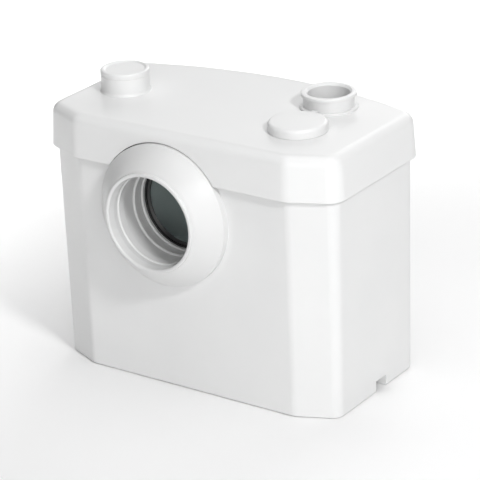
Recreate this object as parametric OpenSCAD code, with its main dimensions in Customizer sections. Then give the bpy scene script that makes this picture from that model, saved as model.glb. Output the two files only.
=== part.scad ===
// Macerator toilet pump: a moulded tank and lid with a pan inlet collar on the front,
// a macerator and pump on one vertical motor shaft, and three ports on the lid.
// Frame: millimetres, +Z up, the inlet faces -Y, the floor is z = 0.

/* [Housing] */
// Width over the lid
lid_w = 332; // [310:1:360]
// Depth of the lid, from its front face to the middle of its bowed back
lid_d = 196; // [190:1:210]
// Height of the lid, from its lower edge to its flat top
lid_h = 43; // [40:1:56]
// Height of the lid's lower edge above the floor
seam_z = 220; // [214:1:250]
// Width of each slanted front facet, measured along the front
facet_w = 46; // [34:1:58]
// Angle of the slanted front facets
facet_angle = 23.5; // [18:0.5:30]
// How far the back bows out past its corners
back_bow = 31; // [24:1:36]
// Rounding between the front and a facet
front_edge_r = 26; // [14:1:30]
// Rounding between a facet and a side
side_edge_r = 20; // [18:1:28]
// Rounding of the back corners
back_corner_r = 20; // [20:1:28]
// Rounding of the lid's top edge
lid_edge_r = 10.5; // [7:0.5:11]
// How far the lid's skirt flares out towards its lower edge
lid_flare = 2; // [0.5:0.5:2.5]
// Thickness of the lid
lid_t = 3.5; // [3:0.1:4.5]
// Thickness of the tank wall at the floor
tank_wall = 4; // [3:0.1:5]
// Gap between the lid's skirt and the tank
skirt_gap = 2; // [1:0.1:3]
// How much each tank wall leans in from the rim to the floor
tank_draft = 2.2; // [1:0.1:4]
// How far the tank's rim rises inside the lid
rim_up = 8; // [6:0.5:12]
// Height of the foot wall under the tank floor
foot_h = 13; // [10:0.5:16]
// Thickness of the foot wall
foot_w = 10; // [7:0.5:14]
// Thickness of the tank floor
floor_t = 4; // [3:0.1:6]
// Length of the hold-down notch in each side of the foot
notch_l = 18; // [12:1:26]
// Place of the hold-down notches behind the lid's front face
notch_back = 100; // [85:1:112]

/* [Pan inlet] */
// Sideways place of the inlet
inlet_x = -18; // [-26:1:-10]
// Height of the inlet's axis above the floor
inlet_z = 180; // [176:1:186]
// Outer diameter of the collar
collar_d = 142; // [136:1:148]
// How far the collar stands out from the lid's front face
collar_proj = 24; // [20:1:30]
// Outer diameter of the collar's lip
lip_d = 99; // [97:0.5:106]
// Diameter of the inlet bore
bore_d = 90; // [84:0.5:92]
// Wall of the collar's sleeve
sleeve_wall = 5; // [4:0.1:7]
// Length of the collar from its lip to its inner end
collar_len = 64; // [60:1:72]
// Opening of the rubber lip seal
seal_open_d = 77; // [70:1:82]

/* [Lid ports] */
// Place of the auxiliary inlet in from the lid's left side
aux_side = 48; // [44:1:56]
// Place of the auxiliary inlet behind the lid's front face
aux_back = 84.5; // [78:0.5:92]
// Outer diameter of the auxiliary inlet
aux_d = 48; // [44:0.5:54]
// Height of the auxiliary inlet's tube above the lid
aux_h = 17.5; // [12:0.5:24]
// Height of the plug's head
plug_head_h = 5.2; // [4:0.1:8]
// Place of the vent filter in from the lid's right side
vent_side = 74.5; // [70:0.5:80]
// Place of the vent filter behind the lid's front face
vent_back = 69.5; // [62:0.5:72]
// Diameter of the filter cap
cap_d = 57; // [54:0.5:62]
// Height of the filter cap
cap_h = 9.5; // [7:0.5:12]
// Sideways place of the discharge outlet
outlet_x = 83; // [79:0.5:86]
// Place of the discharge outlet behind the lid's front face
outlet_back = 136.5; // [136:0.5:142]
// Diameter of the outlet's lip
outlet_lip_d = 53; // [52:0.5:58]
// Diameter of the outlet's opening
outlet_open_d = 40.4; // [39:0.2:42]
// Height of the outlet above the lid
outlet_h = 16; // [13:0.5:22]

/* [Motor and pump] */
// Sideways place of the motor shaft
shaft_x = 63; // [62:0.5:66]
// Place of the motor shaft behind the lid's front face
shaft_back = 70.5; // [69:0.5:71.5]
// Diameter of the motor shaft
shaft_d = 12; // [10:0.5:14]
// Outer diameter of the motor cover
motor_d = 80; // [76:1:82]
// Height of the motor cover
motor_h = 92; // [88:1:96]
// Diameter of the rotor
rotor_d = 40; // [36:1:43]
// Height of the stator's core
core_h = 40; // [34:1:44]
// Outer diameter of the basket
basket_d = 86; // [82:0.5:88]
// Height of the basket
basket_h = 54; // [50:1:58]
// Slots round the basket
basket_slots = 28; // [20:1:32]
// Gap between the blade's tips and the basket
blade_gap = 3; // [2:0.5:7]
// Diameter of the impeller
impeller_d = 68; // [60:1:70]
// Vanes on the impeller
impeller_vanes = 6; // [4:1:8]
// Outer diameter of the discharge pipe
pipe_d = 28; // [26:0.5:29]
// Wall of the discharge pipe
pipe_wall = 2.5; // [2:0.1:3]

/* [Level switch] */
// Place of the pressure bell in from the lid's left side
bell_side = 50; // [49:0.5:54]
// Place of the pressure bell behind the lid's front face
bell_back = 84; // [80:1:92]
// Outer diameter of the pressure bell
bell_d = 44; // [40:1:48]
// Height of the pressure bell
bell_h = 103; // [96:1:108]
// Diameter of the membrane
membrane_d = 62; // [60:0.5:64]
// Travel of the switch plunger
plunger_travel = 2; // [1:0.1:2.5]
// Height of the control box
box_h = 66; // [60:1:68]

/* [Hidden] */
$fn = 96;
fit = 0.3;
running = 0.05;
press = 0.02;
over = 1;

// Housing outline: centres, radii and directions of the rounded corners of the right half
half_w = lid_w / 2;
lid_front = collar_proj - (lid_d + collar_proj) / 2;
lid_back = lid_front + lid_d;
lid_top = seam_z + lid_h;
bow_r = (half_w * half_w + back_bow * back_bow) / (2 * back_bow);
bow_y = lid_back - bow_r;
facet_x = half_w - facet_w;
corner_a = [facet_x - front_edge_r * tan(facet_angle / 2), lid_front + front_edge_r];
corner_b_x = half_w - side_edge_r;
corner_b_in = sin(facet_angle) * (corner_b_x - facet_x) + side_edge_r;
corner_b = [corner_b_x, lid_front + corner_b_in / cos(facet_angle)];
corner_c_x = half_w - back_corner_r;
corner_c_in = bow_r - back_corner_r;
corner_c = [corner_c_x, bow_y + sqrt(corner_c_in * corner_c_in - corner_c_x * corner_c_x)];
back_half = asin(corner_c_x / corner_c_in);
facet_dir = facet_angle - 90;
corners = [
    [corner_a, front_edge_r, -90, facet_dir],
    [corner_b, side_edge_r, facet_dir, 0],
    [corner_c, back_corner_r, 0, 90 - back_half]
];
corner_steps = 8;
back_steps = 20;
edge_steps = 8;

// Places of the ports, the motor shaft and the pressure bell
aux_at = [aux_side - half_w, lid_front + aux_back];
vent_at = [half_w - vent_side, lid_front + vent_back];
outlet_at = [outlet_x, lid_front + outlet_back];
shaft_at = [shaft_x, lid_front + shaft_back];
bell_at = [bell_side - half_w, lid_front + bell_back];

// Tank and lid levels, and how far each skin lies inside the lid's lower edge
rim_z = seam_z + rim_up;
tank_in = lid_t + skirt_gap;
foot_in = tank_in + tank_draft;
foot_edge = 2;
floor_z = foot_h + floor_t;
notch_roof = 1.5;
gasket_t = 1.6;
ledge_t = 4;
ledge_z = rim_z + gasket_t;
ceiling_z = lid_top - lid_t;
notch_y = lid_front + notch_back;

// Inlet collar, measured inwards from its lip
collar_r = collar_d / 2;
lip_r = lip_d / 2;
lip_y = lid_front - collar_proj;
lip_edge = 1.2;
lip_flat = 2.2;
rim_proud = 2;
rim_at = collar_proj - rim_proud;
face_bulge = 2;
face_steps = 8;
seat_at = collar_proj + tank_in;
pad_t = tank_wall + tank_draft;
bore_r = bore_d / 2;
sleeve_r = bore_r + sleeve_wall;
flange_t = 4;
flange_r = sleeve_r + 10;
flange_at = seat_at + pad_t;
seal_seat = 7;
seal_r = bore_r + 2.8;
seal_body = 4.3;
seal_open_r = seal_open_d / 2;
seal_lip_at = 3.8;
seal_lip_t = 1.8;
lead_in = 9;
groove_w = 2.3;
groove_deep = 1.5;
bore_grooves = [24, 42.5];
arch_gap = 0.8;
collar_end_y = lip_y + collar_len;

// Lid ports
aux_bore_r = aux_d / 2 - 3.5;
aux_deep = 22;
plug_deep = 14;
plug_wall = 2.5;
plug_edge = 1.6;
plug_rim = 3.6;
plug_dish = 1.4;
vent_r = 22;
cage_t = 2;
cage_deep = 24;
cage_slot_w = 4;
cage_slot_l = 12;
cage_slot_at = 6.5;
cap_spigot = 5;
cap_edge = 3.2;
tab_l = 13;
tab_w = 6;
tab_t = 2.4;
tab_root = 4;
outlet_r = outlet_lip_d / 2;
outlet_open_r = outlet_open_d / 2;
outlet_neck_r = outlet_r - 2;
outlet_base_r = outlet_r + 1.5;
outlet_base_t = 2;
outlet_lip_t = 4;
outlet_edge = 0.7;
outlet_mouth = 2;
outlet_top = lid_top + outlet_h;
stub_r = outlet_open_r + 3.4;
seat_z = lid_top - 18;
seat_t = 3;
pipe_r = pipe_d / 2;
pipe_in_r = pipe_r - pipe_wall;
stub_end = seat_z - 20;
seal_groove_z = stub_end + 5;
seal_groove_h = 4;
seal_groove_r = pipe_r + 3;
pipe_top = seat_z - 6;
flap_r = 14.6;
flap_t = 3;
flap_arm = flap_r + 1.2;
flap_pin_r = 1.5;
flap_knuckle_r = 2.8;
flap_knuckle_l = 14;
flap_lug_t = 3;
flap_lug_half = 2.2;
flap_pin_l = flap_knuckle_l + 2 * flap_lug_t;
flap_z = seat_z + fit + flap_knuckle_r;
flap_room_r = outlet_open_r + 0.8;
flap_room_h = flap_z - seat_z + flap_knuckle_r + over;

// Pump stack, upwards from the tank floor
shaft_r = shaft_d / 2;
foot_pad_h = 6;
foot_pad_r = 9;
cover_post = 6;
cover_post_r = 6;
cover_t = 4;
cover_z = floor_z + foot_pad_h + cover_post;
volute_z = cover_z + cover_t;
volute_t = 5;
socket_r = pipe_r + pipe_wall;
socket_lift = 0.6;
pipe_z = volute_z + socket_r + socket_lift;
volute_h = 2 * socket_r + over;
volute_top = volute_z + volute_h;
chamber_h = volute_h - volute_t;
impeller_r = impeller_d / 2;
chamber_r = impeller_r + 4;
volute_r = chamber_r + 4;
casing_gap = 1.2;
eye_r = 14;
cover_screw_ring = volute_r - 2;
foot_ring = volute_r - 8;
cover_screw_deep = 8;
pipe_off = outlet_at[0] - shaft_at[0];
elbow_r = pipe_r + 1;
pipe_run = 3;
elbow_y = outlet_at[1] - elbow_r;
socket_y = shaft_at[1] + volute_r + fit;
socket_stop = elbow_y - pipe_run;
basket_top = volute_top + basket_h;
basket_t = 3;
basket_r = basket_d / 2;
basket_in_r = basket_r - basket_t;
basket_eye_r = shaft_r + 6;
basket_slot_w = 3.6;
basket_slot_z = 9;
basket_slot_h = basket_h - 26;
floor_slot_w = 4;
floor_slot_at = 22;
floor_slot_l = basket_in_r - floor_slot_at - 4;
ear_r = 4.2;
ear_h = 14;
ear_web = 6;
plate_t = 6;
plate_top = basket_top + plate_t;
motor_r = motor_d / 2;
motor_t = 3;
motor_flange_t = 3;
motor_dome = 9;
dome_cut = motor_dome * (1 - cos(45));
motor_rib_w = 2.4;
motor_rib_out = 2.2;
motor_rib_h = motor_h - 2 * motor_dome;
motor_top = plate_top + motor_h;
screw_ring = motor_r + 5.5;
plate_r = screw_ring + 4.5;
bearing_r = 13;
bearing_h = 9;
bearing_race = 2;
bearing_groove = 0.8;
bearing_boss_r = bearing_r + 4;
lower_bearing_z = plate_top + 4;
upper_bearing_z = motor_top - motor_t - bearing_h - 2;
seal_ring_r = shaft_r + 5;
seal_ring_h = 5;
core_z = (lower_bearing_z + upper_bearing_z + bearing_h - core_h) / 2;
core_r = motor_r - motor_t - press * 10;
air_gap = 0.6;
rotor_r = rotor_d / 2;
tooth_t = 2.5;
yoke_t = 5;
core_slot_w = 4.4;
core_slot_at = rotor_r + air_gap + tooth_t;
core_slot_l = core_r - yoke_t - core_slot_at;
winding_h = 11;
winding_edge = 3;
winding_in_r = rotor_r + 4;
winding_out_r = core_r - 5;
impeller_z = volute_z + 3;
vane_h = chamber_h - 9;
vane_t = 3;
vane_r = impeller_r - 13;
shroud_t = 2.5;
hub_r = shaft_r + 4;
vane_at = hub_r - 4;
nut_r = shaft_r + 3;
nut_h = 6;
shaft_low = impeller_z - nut_h;
shaft_high = upper_bearing_z + bearing_h;
blade_z = volute_top + 23;
blade_r = basket_in_r - blade_gap;
blade_t = 3;
blade_root = 10;
blade_tip = 4.5;
blade_hook = 9;
blade_hub_r = shaft_r + 7;
blade_hub_h = 14;
bevel_w = 4;
bevel_angle = 40;
bevel_lean = 11;
bevel_cut = 8;

// Inlet hopper
hopper_t = 3;
hopper_r = sleeve_r + 2;
hopper_front = collar_end_y + 3;
hopper_y = hopper_front + 30;
hopper_top = seam_z - 8;
hopper_cut = shaft_at[0] - plate_r - 3;
hopper_left = inlet_x - hopper_r;
chute_low = volute_top + 10;
chute_high = inlet_z - bore_r - 14;
chute_tip = shaft_at[0] - basket_in_r;
chute_half = 25;
drain_l = 34;
drain_w = 28;
drain_h = 26;
window_half = chute_half + 3;
window_z = chute_low - hopper_t - 2;
window_h = basket_h - 20;
window_in = sqrt(basket_in_r * basket_in_r - window_half * window_half) - over;

// Level switch and control box
bell_r = bell_d / 2;
bell_t = 2.5;
bell_slot = 12;
bell_flange_r = membrane_d / 2 + 3;
bell_flange_t = 4;
bell_top = floor_z + bell_h;
membrane_t = 1.5;
box_z = bell_top + membrane_t;
box_t = 3;
box_top = box_z + box_h;
box_x = [bell_at[0] - bell_flange_r - 1, bell_at[0] + bell_flange_r - 1];
box_y = [bell_at[1] - bell_flange_r - 4, bell_at[1] + bell_flange_r + 22];
box_size = [box_x[1] - box_x[0], box_y[1] - box_y[0]];
plunger_disc_r = 14;
plunger_hole_r = plunger_disc_r + 3;
plunger_disc_t = 2;
plunger_pin_r = 2.5;
guide_z = box_z + 8;
guide_t = 4;
guide_w = 16;
plunger_top = guide_z + guide_t + 3;
switch_w = [28, 12, 16];
switch_hole_r = 3.4;
switch_hole_deep = 6;
switch_z = plunger_top - 1;
cheek_t = 4;
ledge_in = 5;
ledge_w = 6;
capacitor_r = 13;
capacitor_h = 46;
capacitor_at = [bell_at[0] - 1, box_y[1] - box_t - capacitor_r - 2];
tag_t = 0.8;
tag_w = 6;
tag_h = 8;
tag_at = 5;
post_r = 4.5;
post_hole = 12;
screw_r = 1.5;
screw_head_r = 3;
screw_head_h = 2.6;
grommet_r = 8;
grommet_bore_r = 3.6;
grommet_z = seam_z - 18;
grommet_flange = 2.5;
grommet_flange_r = grommet_r + 3;
grommet_boss_r = grommet_r + 5;
grommet_boss = pad_t + over;

// Outline helpers
function arc_points(centre, r, from, to, steps) = [
    for (i = [0:steps])
        let (a = from + (to - from) * i / steps)
        [centre[0] + r * cos(a), centre[1] + r * sin(a)]
];
// A corner's points: an arc, or a mitre once the inset is deeper than the rounding
function corner_points(c, inset) = inset < c[1] ?
    arc_points(c[0], c[1] - inset, c[2], c[3], corner_steps) :
    let (mid = (c[2] + c[3]) / 2, deep = (inset - c[1]) / cos((c[3] - c[2]) / 2))
    [c[0] - deep * [cos(mid), sin(mid)]];
function half_outline(inset) = [for (c = corners) each corner_points(c, inset)];
function back_outline(inset) = [
    for (i = [1:back_steps - 1])
        let (a = 90 - back_half + 2 * back_half * i / back_steps)
        [(bow_r - inset) * cos(a), bow_y + (bow_r - inset) * sin(a)]
];
function outline(inset) = let (right = half_outline(inset), last = len(right) - 1) concat(
    right, back_outline(inset), [for (i = [0:last]) [-right[last - i][0], right[last - i][1]]]
);
// Points of a shallow arc from p to q that bulges to the left of that way by rise
function bulge_points(p, q, rise, steps) = let (
    chord = norm(q - p),
    r = (chord * chord / 4 + rise * rise) / (2 * rise),
    along = (q - p) / chord,
    side = [-along[1], along[0]],
    centre = (p + q) / 2 + side * (rise - r),
    half = asin(chord / 2 / r)
) [
    for (i = [0:steps])
        let (a = half * (2 * i / steps - 1))
        centre + r * (along * sin(a) + side * cos(a))
];

// A solid lofted through levels, each drawn as (inset, height)
module moulded(levels) {
    rings = [for (l = levels) [for (p = outline(l[0])) [p[0], p[1], l[1]]]];
    n = len(rings[0]);
    last = len(levels) - 1;
    polyhedron(
        points = [for (r = rings) each r],
        faces = concat(
            [[for (i = [0:n - 1]) i]],
            [for (k = [0:last - 1], i = [0:n - 1])
                let (j = (i + 1) % n)
                [k * n + i, (k + 1) * n + i, (k + 1) * n + j, k * n + j]],
            [[for (i = [n - 1:-1:0]) last * n + i]]
        )
    );
}

module plan_prism(low, high, inset) {
    translate([0, 0, low]) linear_extrude(high - low) polygon(outline(inset));
}

// Things that lie along the inlet's axis, drawn as (radius, distance in from the lip)
module on_inlet(start = 0) {
    translate([inlet_x, lip_y + start, inlet_z]) rotate([-90, 0, 0]) children();
}

module ring(outer, inner, h) {
    difference() {
        cylinder(r = outer, h = h);
        translate([0, 0, -over]) cylinder(r = inner, h = h + 2 * over);
    }
}

module at(place, z = 0) {
    translate([place[0], place[1], z]) children();
}

module screw(shank_l) {
    difference() {
        cylinder(r = screw_head_r, h = screw_head_h);
        translate([0, 0, screw_head_h / 2]) cylinder(r = screw_r, h = screw_head_h, $fn = 6);
    }
    translate([0, 0, -shank_l]) cylinder(r = screw_r, h = shank_l);
}

// Housing
module collar_slot() {
    on_inlet(seat_at - over) cylinder(r = sleeve_r + fit, h = pad_t + 2 * over);
    translate([inlet_x - sleeve_r - fit, lip_y + seat_at - over, inlet_z])
        cube([2 * (sleeve_r + fit), pad_t + 2 * over, rim_z - inlet_z + over]);
}

module grommet_axis(back = 0) {
    translate([0, lid_back - tank_in - back, grommet_z]) rotate([-90, 0, 0]) children();
}

module tank() color("#f3f3f1") difference() {
    union() {
        difference() {
            moulded([[foot_in + foot_edge, 0], [foot_in, foot_edge], [tank_in, rim_z]]);
            plan_prism(floor_z, rim_z + over, foot_in + tank_wall);
        }
        intersection() {
            on_inlet(seat_at) cylinder(r = collar_r, h = pad_t);
            plan_prism(0, rim_z, tank_in / 2);
        }
        grommet_axis(grommet_boss) cylinder(r = grommet_boss_r, h = grommet_boss);
    }
    plan_prism(-over, foot_h, foot_in + foot_w);
    for (side = [0, 1]) mirror([side, 0, 0])
        translate([half_w - foot_in - foot_w - over, notch_y - notch_l / 2, -over])
            cube([foot_w + foot_in, notch_l, foot_h - notch_roof + over]);
    collar_slot();
    grommet_axis(grommet_boss + over) cylinder(r = grommet_r, h = grommet_boss + 2 * over);
}

// The lid's skin: a flared skirt, then the rounded top edge
function lid_levels() = concat([[0, seam_z]], [
    for (i = [0:edge_steps])
        let (a = 90 * i / edge_steps)
        [lid_flare + lid_edge_r * (1 - cos(a)), lid_top - lid_edge_r * (1 - sin(a))]
]);

module lid() color("#f5f5f4") difference() {
    union() {
        difference() {
            moulded(lid_levels());
            plan_prism(seam_z - over, ledge_z, lid_t);
            plan_prism(ledge_z - over, ledge_z + ledge_t + over, tank_in + tank_wall);
            plan_prism(ledge_z + ledge_t, lid_top - lid_edge_r, lid_flare + lid_t);
            plan_prism(lid_top - lid_edge_r - over, ceiling_z, lid_flare + lid_edge_r / 2 + lid_t);
        }
        at(aux_at, ceiling_z - aux_deep) cylinder(r = aux_d / 2, h = aux_deep + lid_t + aux_h);
        at(vent_at, ceiling_z - cage_deep) cylinder(r = vent_r + cage_t, h = cage_deep);
    }
    at(aux_at, ceiling_z - aux_deep - over) cylinder(r = aux_bore_r, h = aux_deep + lid_t + aux_h + 2 * over);
    at(vent_at, ceiling_z - cage_deep + cage_t) cylinder(r = vent_r, h = cage_deep + lid_t + over);
    for (turn = [0:60:300]) at(vent_at, ceiling_z - cage_deep - over) rotate([0, 0, turn])
        translate([cage_slot_at, -cage_slot_w / 2, 0]) cube([cage_slot_l, cage_slot_w, cage_t + 2 * over]);
    at(outlet_at, ceiling_z - over) cylinder(r = stub_r + fit, h = lid_t + 2 * over);
    on_inlet() cylinder(r = collar_r + arch_gap, h = flange_at + flange_t + 2 * over);
}

module lid_gasket() color("#3a3c3d") difference() {
    plan_prism(rim_z, ledge_z, tank_in + fit);
    plan_prism(rim_z - over, ledge_z + over, tank_in + tank_wall - fit);
    on_inlet() cylinder(r = collar_r + arch_gap, h = flange_at + flange_t + 2 * over);
}

// Pan inlet
module inlet_collar() color("#f6f6f5") on_inlet() rotate_extrude() difference() {
    polygon(concat(
        [[bore_r, lead_in], [lip_r - lip_flat, lip_edge / 2], [lip_r - lip_edge, 0]],
        [[lip_r - lip_edge / 3, lip_edge / 4]],
        bulge_points([lip_r, lip_edge], [collar_r - lip_edge, rim_at], -face_bulge, face_steps),
        [[collar_r, rim_at + lip_edge], [collar_r, seat_at], [sleeve_r, seat_at]],
        [[sleeve_r, flange_at + fit], [flange_r, flange_at + fit]],
        [[flange_r, flange_at + flange_t], [sleeve_r, flange_at + flange_t]],
        [[sleeve_r, collar_len], [seal_r, collar_len], [seal_r, collar_len - seal_seat]],
        [[bore_r, collar_len - seal_seat]]
    ));
    for (g = bore_grooves) translate([bore_r - over, g]) square([groove_deep + over, groove_w]);
}

module inlet_seal() color("#161616") on_inlet(collar_len - seal_seat) rotate_extrude() polygon([
    [seal_r - fit, 0], [seal_r - fit, seal_seat - over], [seal_r - seal_body, seal_seat - over],
    [seal_open_r + seal_lip_t / 2, seal_lip_at + seal_lip_t / 2], [seal_open_r, seal_lip_at],
    [seal_open_r + seal_lip_t / 2, seal_lip_at - seal_lip_t / 2],
    [seal_r - seal_body, seal_lip_t], [seal_r - seal_body, 0]
]);

// The hopper's plan: a round back wall with a straight run to the inlet
module hopper_plan(r) {
    translate([inlet_x, hopper_y]) circle(r = r);
    translate([inlet_x - r, hopper_front]) square([2 * r, hopper_y - hopper_front]);
}

module chute_floor() {
    translate([0, hopper_y + hopper_r, 0]) rotate([90, 0, 0]) linear_extrude(2 * hopper_r) polygon([
        [hopper_left, chute_high], [hopper_cut, chute_low],
        [hopper_cut, chute_low - hopper_t], [hopper_left, chute_high - hopper_t]
    ]);
}

module inlet_hopper() color("#5b6664") {
    difference() {
        translate([0, 0, floor_z]) linear_extrude(hopper_top - floor_z) intersection() {
            difference() {
                hopper_plan(hopper_r);
                hopper_plan(hopper_r - hopper_t);
                translate([inlet_x - hopper_r + hopper_t, hopper_front - over])
                    square([2 * (hopper_r - hopper_t), 2 * over]);
            }
            translate([hopper_left - over, hopper_front])
                square([hopper_cut - hopper_left + over, 3 * hopper_r]);
        }
        translate([hopper_left - over, hopper_y - drain_l / 2, floor_z - over])
            cube([hopper_r, drain_l, drain_h]);
        translate([inlet_x - drain_w / 2, hopper_y, floor_z - over]) cube([drain_w, 2 * hopper_r, drain_h]);
    }
    intersection() {
        chute_floor();
        translate([0, 0, floor_z]) linear_extrude(hopper_top - floor_z) hopper_plan(hopper_r - hopper_t / 2);
    }
    translate([hopper_cut - hopper_t, shaft_at[1] - chute_half, chute_low - hopper_t])
        cube([chute_tip - hopper_cut + hopper_t, 2 * chute_half, hopper_t]);
}

// Things that stand in a ring of four round the motor, between its ribs
module round_motor(z) {
    for (turn = [45:90:315]) rotate([0, 0, turn]) translate([screw_ring, 0, z]) children();
}

// Macerator
module basket() color("#6d7674") at(shaft_at, volute_top) difference() {
    union() {
        cylinder(r = basket_r, h = basket_h);
        round_motor(basket_h - ear_h) cylinder(r = ear_r, h = ear_h - fit);
        for (turn = [45:90:315]) rotate([0, 0, turn])
            translate([basket_r - basket_t / 2, -ear_web / 2, basket_h - ear_h + fit])
                cube([screw_ring - basket_r + basket_t / 2, ear_web, ear_h - 3 * fit]);
    }
    translate([0, 0, basket_t]) cylinder(r = basket_in_r, h = basket_h);
    translate([0, 0, -over]) cylinder(r = basket_eye_r, h = basket_t + 2 * over);
    for (i = [0:basket_slots - 1]) rotate([0, 0, 360 * (i + 0.5) / basket_slots])
        translate([basket_in_r - over, -basket_slot_w / 2, basket_slot_z])
            cube([basket_t + 2 * over, basket_slot_w, basket_slot_h]);
    for (turn = [0:45:315]) rotate([0, 0, turn]) translate([floor_slot_at, -floor_slot_w / 2, -over])
        cube([floor_slot_l, floor_slot_w, basket_t + 2 * over]);
    translate([-basket_d, -window_half, window_z - volute_top])
        cube([basket_d - window_in, 2 * window_half, window_h]);
    round_motor(basket_h - ear_h + basket_t) cylinder(r = screw_r + press, h = ear_h);
}

// One arm of the blade, with its leading edge ground to a bevel
module blade_arm() {
    difference() {
        linear_extrude(blade_t) polygon([
            [0, -blade_root], [blade_r - blade_hook, -blade_tip], [blade_r - over, over],
            [blade_r - 2 * over, blade_hook], [blade_r - blade_hook, blade_tip + over], [0, blade_root]
        ]);
        translate([blade_hub_r + fit, bevel_w - blade_root, blade_t]) rotate([0, 0, bevel_lean])
            rotate([bevel_angle, 0, 0]) translate([0, -bevel_cut, -over]) cube([blade_r, bevel_cut, bevel_cut]);
    }
}

module blade() color("#b9bdbf") at(shaft_at, blade_z) difference() {
    union() {
        translate([0, 0, -blade_hub_h / 2]) cylinder(r = blade_hub_r, h = blade_hub_h);
        for (turn = [0, 180]) rotate([0, 0, turn]) blade_arm();
    }
    translate([0, 0, -blade_hub_h]) cylinder(r = shaft_r + press, h = 2 * blade_hub_h);
}

// Motor
module motor_plate() color("#4d5254") at(shaft_at) difference() {
    union() {
        translate([0, 0, basket_top]) cylinder(r = plate_r, h = plate_t);
        translate([0, 0, plate_top]) cylinder(r = bearing_boss_r, h = lower_bearing_z + bearing_h - plate_top);
    }
    translate([0, 0, basket_top - over]) cylinder(r = shaft_r + casing_gap, h = motor_h);
    translate([0, 0, basket_top - over]) cylinder(r = seal_ring_r + press, h = seal_ring_h + over);
    translate([0, 0, lower_bearing_z]) cylinder(r = bearing_r + press, h = bearing_h + over);
    round_motor(basket_top - over) cylinder(r = screw_r + fit, h = plate_t + 2 * over);
}

module motor_cover() color("#3f4446") at(shaft_at, plate_top) difference() {
    union() {
        rotate_extrude() polygon([
            [0, 0], [plate_r, 0], [plate_r, motor_flange_t], [motor_r, motor_flange_t],
            [motor_r, motor_h - motor_dome], [motor_r - dome_cut, motor_h - dome_cut],
            [motor_r - motor_dome, motor_h], [0, motor_h]
        ]);
        for (turn = [0:30:330]) rotate([0, 0, turn])
            translate([motor_r - over, -motor_rib_w / 2, motor_flange_t / 2])
                cube([over + motor_rib_out, motor_rib_w, motor_rib_h]);
    }
    difference() {
        translate([0, 0, -over]) cylinder(r = motor_r - motor_t, h = motor_h - motor_t + over);
        translate([0, 0, upper_bearing_z - plate_top])
            cylinder(r = bearing_boss_r, h = motor_top - upper_bearing_z);
    }
    translate([0, 0, upper_bearing_z - plate_top - over]) cylinder(r = bearing_r + press, h = bearing_h + over);
    round_motor(-over) cylinder(r = screw_r + fit, h = motor_flange_t + 2 * over);
}

module stator_core() color("#7b7f82") at(shaft_at, core_z) difference() {
    cylinder(r = core_r, h = core_h);
    translate([0, 0, -over]) cylinder(r = rotor_r + air_gap, h = core_h + 2 * over);
    for (turn = [0:30:330]) rotate([0, 0, turn]) translate([core_slot_at, -core_slot_w / 2, -over])
        cube([core_slot_l, core_slot_w, core_h + 2 * over]);
}

module winding_head() {
    rotate_extrude() polygon([
        [winding_in_r, 0], [winding_out_r, 0], [winding_out_r, winding_h - winding_edge],
        [winding_out_r - winding_edge, winding_h], [winding_in_r + winding_edge, winding_h],
        [winding_in_r, winding_h - winding_edge]
    ]);
}

module windings() color("#b0713c") at(shaft_at) {
    translate([0, 0, core_z + core_h]) winding_head();
    translate([0, 0, core_z]) mirror([0, 0, 1]) winding_head();
}

module rotor() color("#9a9ea0") at(shaft_at, core_z) ring(rotor_r, shaft_r + press, core_h);

module shaft() color("#c9cccd") at(shaft_at, shaft_low) cylinder(r = shaft_r, h = shaft_high - shaft_low);

module bearing() {
    difference() {
        cylinder(r = bearing_r, h = bearing_h);
        translate([0, 0, -over]) cylinder(r = shaft_r + running, h = bearing_h + 2 * over);
        for (end = [0, 1]) translate([0, 0, end * bearing_h]) mirror([0, 0, end]) translate([0, 0, -over])
            ring(bearing_r - bearing_race, shaft_r + bearing_race, over + bearing_groove);
    }
}

module upper_bearing() color("#c2c5c7") at(shaft_at, upper_bearing_z) bearing();

module lower_bearing() color("#c2c5c7") at(shaft_at, lower_bearing_z) bearing();

module shaft_seal() color("#1b1b1b") at(shaft_at, basket_top) ring(seal_ring_r, shaft_r + running, seal_ring_h);

// Pump
module impeller_vane() {
    intersection() {
        translate([vane_at, -vane_r, 0])
            ring(vane_r + vane_t / 2, vane_r - vane_t / 2, vane_h + shroud_t / 2);
        translate([0, -vane_r, 0]) cube([2 * impeller_r, 2 * impeller_r, vane_h + shroud_t / 2]);
    }
}

module impeller() color("#a8adb0") at(shaft_at, impeller_z) difference() {
    union() {
        intersection() {
            for (i = [0:impeller_vanes - 1]) rotate([0, 0, 360 * i / impeller_vanes]) impeller_vane();
            cylinder(r = impeller_r, h = vane_h + shroud_t);
        }
        translate([0, 0, vane_h]) cylinder(r = impeller_r, h = shroud_t);
        cylinder(r = hub_r, h = vane_h + shroud_t + over);
    }
    translate([0, 0, -over]) cylinder(r = shaft_r + press, h = vane_h + shroud_t + 3 * over);
}

module impeller_nut() color("#c9cccd") at(shaft_at, shaft_low) difference() {
    cylinder(r = nut_r, h = nut_h, $fn = 6);
    translate([0, 0, -over]) cylinder(r = shaft_r + press, h = nut_h + 2 * over);
}

// Things that stand in a ring of three round the pump
module round_pump(first, r, z) {
    for (turn = [first:120:first + 240]) rotate([0, 0, turn]) translate([r, 0, z]) children();
}

module pipe_bar(r, reach) {
    translate([pipe_off, 0, pipe_z - volute_z]) rotate([-90, 0, 0]) cylinder(r = r, h = reach);
}

module pump_volute() color("#565d60") at(shaft_at, volute_z) {
    reach = socket_stop - shaft_at[1] - fit;
    difference() {
        union() {
            cylinder(r = volute_r, h = volute_h);
            pipe_bar(pipe_r, reach);
        }
        translate([0, 0, -over]) cylinder(r = chamber_r, h = chamber_h + over);
        pipe_bar(pipe_in_r, reach + over);
        cylinder(r = shaft_r + casing_gap, h = volute_h + over);
        round_pump(90, cover_screw_ring, -over) cylinder(r = screw_r + press, h = cover_screw_deep + over);
    }
}

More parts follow.
